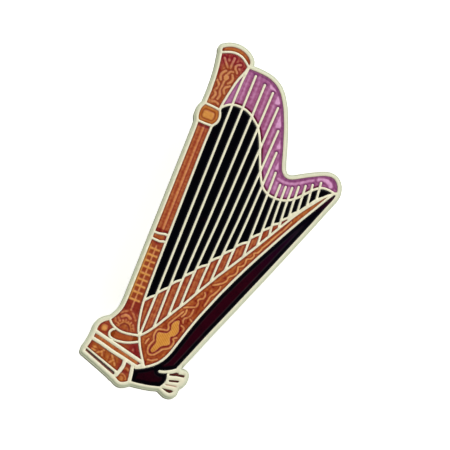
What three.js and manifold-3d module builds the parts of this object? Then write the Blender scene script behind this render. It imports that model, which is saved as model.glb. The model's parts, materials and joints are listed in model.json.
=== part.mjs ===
// Enamel lapel pin in the shape of an orchestral pedal harp, held by two butterfly clutches.
// Millimetres. +Z comes out of the enamelled front, +Y runs to the harp's crown.
// The drawing has its own origin near the harp's middle; the finished group is moved so that
// its origin is the middle of the surface that the clutches' wings stand on.
import * as THREE from 'three';
import { mergeVertices } from 'three/addons/utils/BufferGeometryUtils.js';
import Module from 'manifold-3d';

const wasm = await Module();
wasm.setup();

// ---------------------------------------------------------------- driving dimensions
const PLATE_THICKNESS = 1.8;
const WELL_DEPTH = 0.5;
const ENAMEL_RECESS = 0.05;
const ENAMEL_GAP = 0.004;
const LINE_WIDTH = 0.29;
const MOULDING_WIDTH = 0.45;
const RIM_REACH = 0.41;
const BASE_RIM_REACH = 0.5;
const CURVE_TOLERANCE = 0.012;
const CAP_STEPS = 6;

const POST_RADIUS = 0.6;
const POST_LENGTH = 8;
const POST_SHOULDER_RADIUS = 1.05;
const POST_PAD_RADIUS = 1.7;
const POST_PAD_THICKNESS = 0.35;
const POST_GROOVE_DEPTH = 0.18;
const POST_PLACES = { upper: [0.7, 8.4], lower: [0.1, -9.6] };

const CLUTCH_GAP = 2.2;
const CUP_RADIUS = 5.5;
const CUP_HOLE_RADIUS = 0.8;
const CUP_DEPTH = 1.6;
const COLLAR_RISE = 0.2;
const SHEET = 0.36;
const SPRING_HALF_LENGTH = 3.3;
const SPRING_WIDTH = 3.6;
const WING_WIDTH = 5.2;
const JAW_REACH = 0.68;
const WING_REACH = 5.1;
const WING_DROP = 6.2;
const ROUND_STEPS = 32;

// ---------------------------------------------------------------- the drawing
// Rim: the middle of the flat line round the whole design, in stretches that meet at corners.
const RIM = {
  crown_end: [[-5.84, 20.05], [-5.97, 20.42], [-5.93, 20.72]],
  crown_top: [[-5.93, 20.72], [-5.5, 21.0], [-4.9, 21.26], [-4.1, 21.37], [-3.3, 21.25], [-2.55, 20.88],
    [-2.08, 20.42], [-1.95, 20.05], [-2.02, 19.66]],
  neck_top: [[-2.02, 19.6], [-1.2, 19.6], [-0.3, 19.57], [0.7, 19.43], [1.5, 19.14], [2.2, 18.7],
    [2.75, 18.15], [3.25, 17.42], [3.75, 16.55], [4.25, 15.4], [4.7, 14.3], [5.15, 13.0], [5.5, 11.95],
    [5.8, 10.95], [6.07, 10.15], [6.35, 9.52], [6.75, 9.12], [7.15, 9.02], [7.65, 9.12], [8.3, 9.48],
    [9.05, 9.94], [9.85, 10.38], [10.7, 10.82], [11.35, 11.07], [11.95, 11.15], [12.5, 11.02],
    [12.95, 10.66], [13.24, 10.2], [13.38, 9.7], [13.41, 9.15], [13.26, 8.5]],
  soundbox_side: [[13.26, 8.5], [12.68, 7.0], [11.94, 5.0], [11.17, 3.0], [10.02, 0.0], [8.86, -3.0],
    [7.67, -6.0], [6.48, -9.0], [5.27, -12.0], [4.13, -15.0], [3.3, -17.12]],
  pedal_top: [[3.3, -17.2], [3.65, -17.4], [4.05, -17.33], [4.38, -17.4], [4.52, -17.75], [4.55, -18.2],
    [4.42, -18.7], [4.1, -19.15], [3.97, -19.65], [3.95, -20.1], [3.65, -20.45], [3.15, -20.53],
    [2.6, -20.35], [2.05, -20.1]],
  foot_block: [[2.05, -20.1], [1.0, -20.4], [0.0, -20.6], [-0.8, -20.72], [-1.5, -20.78]],
  scroll: [[-1.5, -20.78], [-1.9, -21.08], [-2.4, -21.3], [-2.9, -21.22], [-3.3, -20.98], [-3.7, -20.9]],
  base_bottom: [[-3.6, -20.88], [-5.6, -20.15], [-7.85, -19.38]],
  base_left: [[-7.85, -19.38], [-7.86, -18.9], [-7.68, -18.2], [-7.55, -17.4], [-7.5, -16.7],
    [-7.5, -16.1], [-7.32, -15.5], [-6.9, -15.0], [-6.4, -14.65]],
  column_left: [[-6.4, -14.65], [-6.05, -14.08], [-5.76, -13.5], [-5.56, -12.9], [-5.44, -12.0],
    [-5.42, -10.5], [-5.41, -4.0], [-5.4, 4.0], [-5.41, 10.6], [-5.44, 11.36]],
  knob_left: [[-5.44, 11.36], [-5.66, 11.85], [-5.73, 12.5], [-5.66, 13.1], [-5.4, 13.62]],
  capital_left: [[-5.38, 13.66], [-5.35, 15.0], [-5.38, 16.4], [-5.47, 17.6], [-5.62, 18.8],
    [-5.84, 20.05]],
};
const BASE_STRETCHES = ['scroll', 'base_bottom', 'base_left'];

// Lines inside the rim. Each is a smooth curve through its points.
const LINES = [
  [[-5.84, 20.05], [-5.3, 20.28], [-4.65, 20.52], [-4.0, 20.58], [-3.35, 20.46], [-2.7, 20.1],
    [-2.1, 19.6]],
  [[-2.1, 19.6], [-2.22, 19.0], [-2.5, 18.3], [-2.78, 17.5], [-3.02, 16.4], [-3.24, 15.2], [-3.41, 14.1],
    [-3.42, 13.55]],
  [[-5.38, 13.64], [-4.4, 13.6], [-3.44, 13.52]],
  [[-3.44, 13.52], [-3.22, 13.1], [-3.1, 12.5], [-3.2, 11.95], [-3.56, 11.42]],
  [[-5.44, 11.38], [-4.5, 11.34], [-3.56, 11.4]],
  [[-3.6, 11.4], [-3.65, 9.5], [-3.62, 4.0], [-3.57, -3.0], [-3.52, -8.0], [-3.47, -10.2], [-3.42, -11.4],
    [-3.28, -12.5], [-2.97, -14.0], [-2.68, -14.8], [-2.4, -15.2]],
  [[-5.4, -2.98], [-4.9, -3.0], [-4.5, -2.93], [-4.0, -2.8], [-3.6, -2.82]],
  [[-5.4, -3.78], [-4.8, -3.82], [-4.3, -3.84], [-3.9, -3.7], [-3.6, -3.68]],
  [[-6.42, -14.62], [-6.1, -15.0], [-5.6, -15.32], [-4.9, -15.54], [-4.1, -15.56], [-3.2, -15.4],
    [-2.42, -15.22]],
  [[-5.3, -15.44], [-5.68, -15.75], [-5.86, -16.15], [-5.7, -16.55], [-5.2, -16.76], [-4.3, -16.74],
    [-3.4, -16.52], [-2.7, -16.2], [-2.2, -15.92]],
  [[-2.4, -15.2], [-2.1, -15.95], [-1.6, -16.85], [-1.0, -17.75], [-0.5, -18.5]],
  [[-1.4, -18.98], [-0.75, -18.66], [-0.2, -18.32], [0.4, -17.86], [0.95, -17.3], [1.4, -16.62],
    [1.74, -15.85], [2.01, -15.0], [2.29, -14.0], [2.58, -13.0], [3.22, -11.0], [3.95, -9.0], [4.73, -7.0],
    [5.59, -5.0], [6.5, -3.0], [7.46, -1.0], [8.47, 1.0], [9.49, 3.0], [10.55, 5.0], [11.68, 7.0],
    [12.5, 8.5], [12.95, 9.25]],
  [[-2.4, -15.2], [-1.95, -14.75], [-1.38, -14.0], [-0.74, -13.0], [-0.2, -12.05], [0.35, -11.05],
    [0.95, -10.05], [1.52, -9.05], [2.03, -8.05], [2.62, -7.0], [3.18, -6.0], [3.74, -5.0], [4.34, -4.0],
    [4.96, -3.0], [5.55, -2.0], [6.15, -1.0], [6.74, 0.0], [7.3, 1.0], [7.86, 2.0], [8.4, 3.0],
    [8.97, 4.0], [9.55, 5.0], [10.0, 5.72], [10.55, 6.5], [11.15, 7.3], [11.75, 8.1], [12.2, 8.62],
    [12.7, 9.05], [13.2, 9.42]],
];
// The bridge of metal between the neck and the open strings.
const BRIDGE = [[-3.45, 13.75], [-3.1, 14.15], [-2.55, 14.55], [-1.95, 14.74], [-1.2, 14.78], [-0.4, 14.64],
  [0.25, 14.35], [0.9, 13.86], [1.55, 13.3], [2.05, 12.55], [2.5, 11.65], [2.95, 10.5], [3.3, 9.6],
  [3.7, 8.65], [4.15, 7.75], [4.6, 6.98], [5.1, 6.52], [5.7, 6.22], [6.4, 6.12], [7.1, 6.14],
  [7.75, 6.3], [8.4, 6.62], [9.1, 7.2], [9.75, 7.92], [10.35, 8.62], [10.95, 9.15], [11.55, 9.42],
  [12.3, 9.46], [12.8, 9.35], [13.3, 9.25]];
// The short finger of metal that reaches into the foot block.
const FINGER = [[1.42, -18.29], [1.9, -18.16], [2.4, -17.92], [2.95, -17.6]];
// Wider mouldings of the base.
const MOULDINGS = [
  [[-7.5, -16.62], [-5.4, -17.08], [-3.0, -17.6], [-1.0, -18.05]],
  [[-7.6, -17.52], [-6.2, -17.76], [-5.0, -18.08], [-3.2, -18.42], [-1.3, -18.82]],
  [[-2.92, -18.6], [-2.86, -19.2], [-3.0, -19.9], [-3.25, -20.6]],
  [[-1.8, -18.9], [-1.68, -19.6], [-1.58, -20.2], [-1.5, -20.78]],
  [[-0.82, -18.16], [-0.86, -18.42], [-1.2, -18.72]],
];

// Strings: tip in the neck, where it leaves the bridge, and its foot on the soundboard line.
const STRINGS = [
  [[-2.05, 19.45], [-2.22, 17.5], [-2.26, 8.0], [-2.32, -9.7], [-2.38, -15.1]],
  [[-0.91, 18.92], [-0.97, 14.5], [-1.2, -7.5], [-1.18, -13.65]],
  [[0.49, 18.32], [0.42, 14.2], [0.2, 1.5], [-0.08, -7.5], [-0.08, -11.8]],
  [[1.74, 17.79], [1.6, 12.8], [1.3, 1.5], [0.88, -7.0], [0.84, -10.22]],
  [[2.97, 16.34], [2.72, 10.0], [2.42, 1.5], [2.06, -6.0], [2.02, -8.05]],
  [[4.01, 13.78], [3.75, 7.5], [3.5, 1.5], [3.16, -4.2], [3.12, -6.1]],
  [[4.77, 11.25], [4.6, 6.0], [4.46, 1.5], [4.26, -2.5], [4.22, -4.18]],
  [[5.56, 8.98], [5.6, 6.0], [5.61, 1.5], [5.64, -1.82]],
  [[6.6, 7.84], [6.58, 5.5], [6.62, 2.0], [6.72, -0.02]],
  [[7.3, 7.87], [7.34, 5.5], [7.46, 3.0], [7.62, 1.58]],
  [[8.07, 8.05], [8.12, 6.0], [8.25, 3.8], [8.34, 2.92]],
  [[8.75, 8.45], [8.86, 6.0], [9.0, 4.4]],
  [[9.48, 8.88], [9.6, 7.0], [9.72, 5.4]],
  [[10.22, 9.31], [10.36, 7.9], [10.5, 6.6]],
  [[11.07, 9.91], [11.18, 8.9], [11.3, 7.6]],
];
// The scalloped line: one hanging arc from each string to the next, from the column upwards.
const SCALLOPS = [
  [[-3.44, -11.1], [-2.86, -10.42], [-2.32, -9.98]],
  [[-2.32, -9.72], [-1.75, -9.02], [-1.2, -8.5]],
  [[-1.2, -8.18], [-0.7, -7.56], [-0.08, -7.1]],
  [[-0.04, -6.62], [0.46, -6.06], [0.95, -5.6]],
  [[0.98, -5.22], [1.5, -4.7], [2.12, -4.28]],
  [[2.12, -3.86], [2.68, -3.24], [3.24, -2.76]],
  [[3.26, -2.44], [3.8, -1.86], [4.33, -1.44]],
  [[4.34, -1.08], [4.95, -0.4], [5.62, 0.06]],
  [[5.63, 0.58], [6.15, 1.14], [6.62, 1.56]],
  [[6.63, 1.94], [7.05, 2.34], [7.46, 2.74]],
  [[7.46, 2.98], [7.85, 3.3], [8.26, 3.56]],
  [[8.28, 3.92], [8.65, 4.28], [8.98, 4.6]],
  [[8.98, 4.86], [9.36, 5.28], [9.72, 5.62]],
];

// Enamel colours, as the fired glass looks over the struck metal.
const COLOURS = {
  gold: 0xe8deb8,
  nickel: 0xc9c6bd,
  orange: 0xc07a42,
  brown: 0xa4502f,
  crimson: 0x8a2a2e,
  purple: 0x96508c,
  black: 0x05060f,
  maroon: 0x2a0a14,
  umber: 0x6a2a18,
};

// Cells: a point inside each one, and its colour. Names say which part of the harp it fills.
const CELLS = [
  ['crown_enamel', [-4, 20.98], 'orange'],
  ['capital_enamel', [-4.2, 17.6], 'crimson'],
  ['knob_enamel', [-4.4, 12.5], 'orange'],
  ['column_enamel', [-4.5, 4], 'brown'],
  ['column_ring_enamel', [-4.5, -3.35], 'orange'],
  ['column_foot_enamel', [-4.5, -9], 'brown'],
  ['base_left_enamel', [-6.7, -15.9], 'brown'],
  ['base_crescent_enamel', [-4.2, -16.1], 'orange'],
  ['base_wedge_enamel', [-2.3, -17.1], 'crimson'],
  ['base_moulding_enamel', [-4.4, -17.72], 'orange'],
  ['base_panel_enamel', [-5, -18.9], 'brown'],
  ['base_scroll_enamel', [-2.4, -20.2], 'brown'],
  ['soundboard_enamel', [0, -14.8], 'orange'],
  ['soundbox_enamel', [5, -9], 'black'],
  ['neck_wedge_enamel', [-2.7, 15.5], 'purple'],
  ['neck_enamel', [-1.6, 17], 'purple'],
  ...openStringCells(),
  ...soundboardBandCells(),
];

// Slots sunk into the solid metal of the pedals and of the base's bottom edge.
const SLOTS = {
  base_groove_enamel: [[-7.68, -18.98], [-3.62, -20.34], [-3.5, -20.48], [-3.52, -20.66], [-3.68, -20.66],
    [-7.74, -19.24]],
  pedal_slot_upper_enamel: [[2.6, -18.12], [3.0, -17.92], [3.32, -17.66], [3.55, -17.66], [3.7, -17.76],
    [4.3, -17.62], [4.42, -17.75], [4.32, -17.9], [3.5, -18.06], [2.68, -18.3]],
  pedal_slot_middle_enamel: [[2.86, -18.8], [3.9, -18.48], [4.02, -18.56], [3.94, -18.7], [2.95, -19.0],
    [2.83, -18.92]],
  pedal_slot_lower_enamel: [[2.4, -20.04], [3.55, -19.84], [3.75, -19.86], [3.72, -20.06], [3.4, -20.26],
    [3.05, -20.24]],
};

// The black ground between neighbouring strings.
function openStringCells() {
  const seeds = [[-2.9, 5], ...pairSeeds(), [9.28, 6.2], [9.95, 7.0], [10.78, 8.0], [11.8, 9.0]];
  return seeds.map((seed, i) => [`open_string_enamel_${String(i + 1).padStart(2, '0')}`, seed, 'black']);
}

// A point between each string and the next one, below the bridge.
function pairSeeds() {
  const heights = [5, 5, 5, 5, 5, 4.8, 4.5, 4.5, 4.5, 4.5, 5.2];
  return heights.map((y, i) => [(xAt(STRINGS[i], y) + xAt(STRINGS[i + 1], y)) / 2, y]);
}

// The cells of the soundboard's upper band, between the scalloped line and the straight one.
function soundboardBandCells() {
  const seeds = [[-2.85, -12.2], [-1.75, -11.8], [-0.7, -10.2], [0.4, -8.8], [1.45, -6.8], [2.65, -5.2],
    [3.7, -3.8], [4.95, -1.6], [6.12, 0.2], [6.98, 1.45], [7.78, 2.65], [8.55, 3.85]];
  return seeds.map((seed, i) => [`soundboard_band_enamel_${String(i + 1).padStart(2, '0')}`, seed, 'brown']);
}

// ---------------------------------------------------------------- plane geometry
const vector = ([x, y]) => new THREE.Vector2(x, y);

function xAt(points, y) {
  const i = points.findIndex((p, k) => k > 0 && p[1] <= y);
  const [a, b] = [points[i - 1], points[i]];
  return a[0] + ((b[0] - a[0]) * (a[1] - y)) / (a[1] - b[1]);
}

// A smooth curve through the points, kept only as fine as the tolerance asks.
function smooth(points) {
  if (points.length < 3) {
    return points.map(vector);
  }
  const knots = points.map(([x, y]) => new THREE.Vector3(x, y, 0));
  const curve = new THREE.CatmullRomCurve3(knots, false, 'centripetal');
  const fine = curve.getPoints((points.length - 1) * 8).map((p) => new THREE.Vector2(p.x, p.y));
  return thin(fine, CURVE_TOLERANCE);
}

// Ramer-Douglas-Peucker: drops the points that the outline does not need.
function thin(points, tolerance) {
  const last = points.length - 1;
  const chord = points[last].clone().sub(points[0]);
  const span = Math.max(chord.length(), 1e-9);
  let worst = 0;
  let at = 0;
  for (let i = 1; i < last; i += 1) {
    const d = points[i].clone().sub(points[0]);
    const off = Math.abs(chord.x * d.y - chord.y * d.x) / span;
    if (off > worst) {
      worst = off;
      at = i;
    }
  }
  if (worst <= tolerance) {
    return [points[0], points[last]];
  }
  return [...thin(points.slice(0, at + 1), tolerance).slice(0, -1), ...thin(points.slice(at), tolerance)];
}

// The outline of a line of metal: both sides of the curve, and a round cap at each end.
function ribbon(points, width) {
  const half = width / 2;
  const path = smooth(points);
  const last = path.length - 1;
  const along = path.map((p, i) => {
    const [before, after] = [path[Math.max(i - 1, 0)], path[Math.min(i + 1, last)]];
    return after.clone().sub(before).normalize();
  });
  const side = (sign) => path.map((p, i) => {
    const normal = new THREE.Vector2(-along[i].y, along[i].x);
    const step = i > 0 ? p.clone().sub(path[i - 1]).normalize() : along[i];
    const stretch = 1 / Math.max(Math.abs(normal.dot(new THREE.Vector2(-step.y, step.x))), 0.7);
    return p.clone().addScaledVector(normal, sign * half * (i > 0 && i < last ? stretch : 1));
  });
  const cap = (centre, direction) => {
    const start = Math.atan2(direction.y, direction.x) + Math.PI / 2;
    return Array.from({ length: CAP_STEPS - 1 }, (unused, k) => {
      const angle = start - (Math.PI * (k + 1)) / CAP_STEPS;
      return new THREE.Vector2(centre.x + half * Math.cos(angle), centre.y + half * Math.sin(angle));
    });
  };
  const ends = [cap(path[last], along[last]), cap(path[0], along[0].clone().negate())];
  return new THREE.Shape([...side(1), ...ends[0], ...side(-1).reverse(), ...ends[1]]);
}

// ---------------------------------------------------------------- solids
function toSolid(geometry) {
  const bare = geometry.index ? geometry.clone() : geometry;
  bare.deleteAttribute('normal');
  bare.deleteAttribute('uv');
  const merged = mergeVertices(bare, 1e-5);
  return new wasm.Manifold(new wasm.Mesh({
    numProp: 3,
    vertProperties: new Float32Array(merged.attributes.position.array),
    triVerts: new Uint32Array(merged.index.array),
  }));
}

function toGeometry(solid) {
  const mesh = solid.getMesh();
  const geometry = new THREE.BufferGeometry();
  geometry.setAttribute('position', new THREE.BufferAttribute(new Float32Array(mesh.vertProperties), 3));
  geometry.setIndex(new THREE.BufferAttribute(new Uint32Array(mesh.triVerts), 1));
  return geometry;
}

function slab(shape, bottom, top) {
  const geometry = new THREE.ExtrudeGeometry(shape, { depth: top - bottom, bevelEnabled: false, steps: 1 });
  return toSolid(geometry.translate(0, 0, bottom));
}

function joined(solids) {
  return solids.reduce((sum, next) => sum.add(next));
}

// Splits a solid into its separate bodies, as sets of triangles joined by their corners.
function bodiesOf(solid) {
  const mesh = solid.getMesh();
  const owner = Array.from({ length: mesh.numVert }, (unused, i) => i);
  const root = (i) => {
    let r = i;
    while (owner[r] !== r) {
      owner[r] = owner[owner[r]];
      r = owner[r];
    }
    return r;
  };
  const tris = Array.from(mesh.triVerts);
  for (let t = 0; t < tris.length; t += 3) {
    owner[root(tris[t + 1])] = root(tris[t]);
    owner[root(tris[t + 2])] = root(tris[t]);
  }
  const groups = new Map();
  for (let t = 0; t < tris.length; t += 3) {
    const key = root(tris[t]);
    if (!groups.has(key)) {
      groups.set(key, []);
    }
    groups.get(key).push(tris[t], tris[t + 1], tris[t + 2]);
  }
  return [...groups.values()].map((index) => ({ index, positions: mesh.vertProperties }));
}

// True where the point lies under one of the body's triangles.
function covers(body, [x, y]) {
  const point = new THREE.Vector3(x, y, 0);
  const corner = (i) => new THREE.Vector3(body.positions[3 * i], body.positions[3 * i + 1], 0);
  for (let t = 0; t < body.index.length; t += 3) {
    const [a, b, c] = body.index.slice(t, t + 3).map(corner);
    const triangle = new THREE.Triangle(a, b, c);
    if (triangle.getArea() > 1e-7 && triangle.containsPoint(point)) {
      return true;
    }
  }
  return false;
}

function bodyGeometry(body) {
  const geometry = new THREE.BufferGeometry();
  geometry.setAttribute('position', new THREE.BufferAttribute(new Float32Array(body.positions), 3));
  geometry.setIndex(body.index);
  return mergeVertices(geometry.toNonIndexed(), 1e-5);
}

// ---------------------------------------------------------------- the plate and its enamel
const wellFloor = PLATE_THICKNESS - WELL_DEPTH;
const rimPath = Object.values(RIM).flatMap((stretch) => smooth(stretch));
const rimShape = new THREE.Shape(rimPath.filter((p, i) => i === 0 || p.distanceTo(rimPath[i - 1]) > 0.02));

function blank() {
  const edge = Object.entries(RIM).map(([name, stretch]) => {
    const reach = BASE_STRETCHES.includes(name) ? BASE_RIM_REACH : RIM_REACH;
    return slab(ribbon(stretch, 2 * reach), 0, PLATE_THICKNESS);
  });
  return joined([slab(rimShape, 0, PLATE_THICKNESS), ...edge]);
}

// Every line of metal that stands between the wells, each widened by the given clearance.
function walls(bottom, top, clearance) {
  const draw = (width) => (points) => slab(ribbon(points, width + 2 * clearance), bottom, top);
  const narrow = [...Object.values(RIM), ...LINES, BRIDGE, ...STRINGS, ...SCALLOPS];
  return joined([
    ...narrow.map(draw(LINE_WIDTH)),
    ...MOULDINGS.map(draw(MOULDING_WIDTH)),
    draw(LINE_WIDTH * 1.2)(FINGER),
    slab(pedalsShape(), bottom, top),
    slab(tipShape(), bottom, top),
    slab(ledgeShape(), bottom, top),
  ]);
}

// The pedals are one solid fan of metal beside the foot block.
function pedalsShape() {
  const edge = [[3.26, -17.12], [2.5, -17.75], [2.34, -18.2], [2.5, -18.9], [2.34, -19.5], [2.0, -20.05]];
  return new THREE.Shape([...smooth(edge), ...smooth(RIM.pedal_top).reverse()]);
}

// The solid web where the strings run out into the soundboard line.
function tipShape() {
  const web = [[9.0, 4.5], [9.05, 5.0], [9.72, 5.75], [10.42, 6.8], [11.2, 7.95], [11.9, 8.5], [12.4, 8.72],
    [11.4, 7.6], [10.0, 5.8], [9.3, 4.5]];
  return new THREE.Shape(web.map(vector));
}

// The ledge under the base's carved panel.
function ledgeShape() {
  const ledge = [[-7.8, -18.7], [-3.2, -20.15], [-3.05, -20.6], [-3.4, -20.98], [-7.85, -19.38]];
  return new THREE.Shape(ledge.map(vector));
}

function slotShape(points, inset) {
  const total = points.reduce((sum, p) => sum.add(vector(p)), new THREE.Vector2());
  const centre = total.divideScalar(points.length);
  return new THREE.Shape(points.map((p) => {
    const spoke = vector(p).sub(centre);
    return centre.clone().addScaledVector(spoke, 1 - inset / spoke.length());
  }));
}

// Everything that is sunk into the plate, as solids from the well floor to the given height.
function wells(top, clearance) {
  return slab(rimShape, wellFloor, top).subtract(walls(wellFloor - 1, top + 1, clearance));
}

function slots(top) {
  return Object.values(SLOTS).map((outline) => slab(slotShape(outline, 0), wellFloor, top));
}

function enamelMeshes() {
  const top = PLATE_THICKNESS - ENAMEL_RECESS;
  const bodies = bodiesOf(wells(top, ENAMEL_GAP));
  const cells = CELLS.map(([name, seed, colour]) => {
    const body = bodies.find((candidate) => covers(candidate, seed));
    return piece(name, bodyGeometry(body), COLOURS[colour], 0.12, 0);
  });
  const fills = Object.entries(SLOTS).map(([name, outline]) => {
    const fill = slab(slotShape(outline, ENAMEL_GAP), wellFloor, top);
    return piece(name, toGeometry(fill), COLOURS.umber, 0.2, 0);
  });
  return [...cells, ...fills];
}

function piece(name, geometry, colour, roughness, metalness) {
  const material = new THREE.MeshStandardMaterial({ color: colour, roughness, metalness });
  const mesh = new THREE.Mesh(geometry, material);
  mesh.name = name;
  return mesh;
}

// ---------------------------------------------------------------- posts and clutches
function post() {
  const stop = -CLUTCH_GAP + COLLAR_RISE + 0.05;
  const groove = -POST_LENGTH + 1.5;
  const outline = [[0, -POST_LENGTH], [0.12, -POST_LENGTH], [POST_RADIUS, -POST_LENGTH + 0.8],
    [POST_RADIUS, groove - 0.35], [POST_RADIUS - POST_GROOVE_DEPTH, groove - 0.15],
    [POST_RADIUS - POST_GROOVE_DEPTH, groove + 0.15], [POST_RADIUS, groove + 0.35], [POST_RADIUS, stop],
    [POST_SHOULDER_RADIUS - 0.1, stop], [POST_SHOULDER_RADIUS, stop + 0.1],
    [POST_SHOULDER_RADIUS + 0.1, -POST_PAD_THICKNESS - 0.15],
    [POST_PAD_RADIUS - 0.2, -POST_PAD_THICKNESS],
    [POST_PAD_RADIUS, -POST_PAD_THICKNESS + 0.1], [POST_PAD_RADIUS, 0], [0, 0]];
  return new THREE.LatheGeometry(outline.map(vector), 16).rotateX(Math.PI / 2);
}

// The cup: a round sheet with a raised collar at its hole and a turned-down edge.
function cup() {
  const collar = COLLAR_RISE;
  const outline = [[CUP_HOLE_RADIUS, collar - SHEET], [CUP_HOLE_RADIUS, collar], [1.6, collar], [2.1, 0],
    [CUP_RADIUS - 0.5, 0], [CUP_RADIUS - 0.1, -0.3], [CUP_RADIUS, -CUP_DEPTH],
    [CUP_RADIUS - SHEET, -CUP_DEPTH],
    [CUP_RADIUS - 0.1 - SHEET, -0.5], [CUP_RADIUS - 0.65, -SHEET], [2.1, -SHEET], [1.6, collar - SHEET]];
  const closed = [...outline, outline[0]].map(vector).reverse();
  return new THREE.LatheGeometry(closed, ROUND_STEPS).rotateX(Math.PI / 2);
}

// A bent strip: its side view drawn as a ribbon, its plan cut to the given outline.
function bentStrip(sideView, plan) {
  const width = 12;
  const side = new THREE.ExtrudeGeometry(ribbon(sideView, SHEET), { depth: width, bevelEnabled: false });
  side.translate(0, 0, -width / 2).rotateX(Math.PI / 2);
  return toSolid(side).intersect(slab(plan, -12, 2));
}

function rectangle(left, right, halfWidth, corner) {
  const shape = new THREE.Shape();
  shape.moveTo(left, -halfWidth);
  shape.lineTo(right - corner, -halfWidth);
  shape.absarc(right - corner, corner - halfWidth, corner, -Math.PI / 2, 0, false);
  shape.absarc(right - corner, halfWidth - corner, corner, 0, Math.PI / 2, false);
  shape.lineTo(left, halfWidth);
  return shape;
}

// The spring's seat: it lies in the cup and folds up at both ends towards the wings.
function springSeat() {
  const floor = -SHEET - 0.02 - SHEET / 2;
  const arm = SPRING_HALF_LENGTH;
  const half = [[arm * 0.3, floor], [arm * 0.6, floor], [arm - 0.5, floor - 0.02], [arm, floor - 0.3],
    [arm - 0.1, floor - 0.75], [arm - 0.6, floor - 1.05]];
  const mirrored = half.map(([x, z]) => [-x, z]).reverse();
  const plan = rectangle(-arm - 1, arm + 1, SPRING_WIDTH / 2, 0.1);
  const window = new THREE.CylinderGeometry(1.0, 1.0, 6, 16).rotateX(Math.PI / 2);
  return bentStrip([...mirrored, ...half], plan).subtract(toSolid(window));
}

// A wing: jaw beside the post, knee at the fold, and the flared grip that the fingers pinch.
function wing() {
  const sideView = [[JAW_REACH + SHEET / 2, -1.25], [1.35, -1.75], [2.0, -2.5], [2.55, -3.5], [3.4, -4.75],
    [4.3, -5.6], [WING_REACH - SHEET / 2, -WING_DROP + SHEET / 2]];
  return bentStrip(sideView, rectangle(0, WING_REACH + 0.2, WING_WIDTH / 2, 1.9));
}

function clutch(name) {
  const group = new THREE.Group();
  const add = (part, geometry) => {
    const mesh = piece(`${name}_clutch_${part}`, geometry, COLOURS.nickel, 0.3, 1);
    group.add(mesh);
    return mesh;
  };
  add('cup', cup());
  add('spring', toGeometry(springSeat()));
  add('wing_right', toGeometry(wing()));
  add('wing_left', toGeometry(wing())).rotation.z = Math.PI;
  return group;
}

// ---------------------------------------------------------------- the assembly
const pin = new THREE.Group();
const sunk = joined([wells(PLATE_THICKNESS + 1, 0), ...slots(PLATE_THICKNESS + 1)]);
const plate = blank().subtract(sunk);
pin.add(piece('plate', toGeometry(plate), COLOURS.gold, 0.25, 1));
pin.add(...enamelMeshes());
for (const [name, [x, y]] of Object.entries(POST_PLACES)) {
  const shaft = piece(`${name}_post`, post(), COLOURS.nickel, 0.3, 1);
  shaft.position.set(x, y, 0);
  const back = clutch(name);
  back.position.set(x, y, -CLUTCH_GAP);
  pin.add(shaft, back);
}

const extent = new THREE.Box3().setFromObject(pin);
const middle = extent.getCenter(new THREE.Vector3());
pin.position.set(-middle.x, -middle.y, -extent.min.z);

export default pin;
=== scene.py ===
import json
import math

import bmesh
import bpy
import numpy as np
from mathutils import Matrix, Vector
from mathutils.bvhtree import BVHTree
from mathutils.geometry import delaunay_2d_cdt


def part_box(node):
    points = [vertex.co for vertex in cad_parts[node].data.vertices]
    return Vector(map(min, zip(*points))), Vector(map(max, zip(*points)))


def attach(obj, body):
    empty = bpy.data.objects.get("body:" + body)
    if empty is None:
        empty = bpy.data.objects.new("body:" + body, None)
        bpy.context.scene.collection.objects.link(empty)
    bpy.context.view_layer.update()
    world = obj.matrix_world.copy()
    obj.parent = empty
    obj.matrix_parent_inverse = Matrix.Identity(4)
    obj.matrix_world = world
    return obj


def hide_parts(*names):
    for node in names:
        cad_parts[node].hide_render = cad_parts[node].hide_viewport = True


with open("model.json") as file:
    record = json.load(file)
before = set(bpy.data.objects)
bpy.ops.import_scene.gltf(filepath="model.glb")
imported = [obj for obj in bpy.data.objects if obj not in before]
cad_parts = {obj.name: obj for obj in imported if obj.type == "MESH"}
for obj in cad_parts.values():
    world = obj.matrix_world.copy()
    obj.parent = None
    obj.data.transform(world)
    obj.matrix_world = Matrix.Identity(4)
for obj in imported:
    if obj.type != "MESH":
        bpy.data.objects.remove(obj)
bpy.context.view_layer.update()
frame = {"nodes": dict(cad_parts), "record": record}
MM = 0.001
scene = bpy.context.scene

# The plate's drawing has its own origin: the upper post stands at (0.7, 8.4) mm of the drawing.
POST_IN_DRAWING = Vector((0.7, 8.4))
POST_BOXES = [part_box(node) for node in ("upper_post", "lower_post")]
MIDDLES = [((low + high) / 2 / MM).xy for low, high in POST_BOXES]
SHIFT = MIDDLES[0] - POST_IN_DRAWING
POSTS = [np.array(middle - SHIFT) for middle in MIDDLES]
BACK, FRONT = (corner.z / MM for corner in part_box("plate"))

# ------------------------------------------------------------------ camera and light
VIEW_WIDTH = 53.7
VIEW_CENTRE = Vector((2.225, 0.899))
ROLL = math.radians(22)
TILT = math.radians(7)
TILT_SIDE = math.radians(225)
LENS, SENSOR = 450.0, 36.0
FLOOR_HALF = 1.5
DIM_SIDE = math.radians(247)


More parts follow.
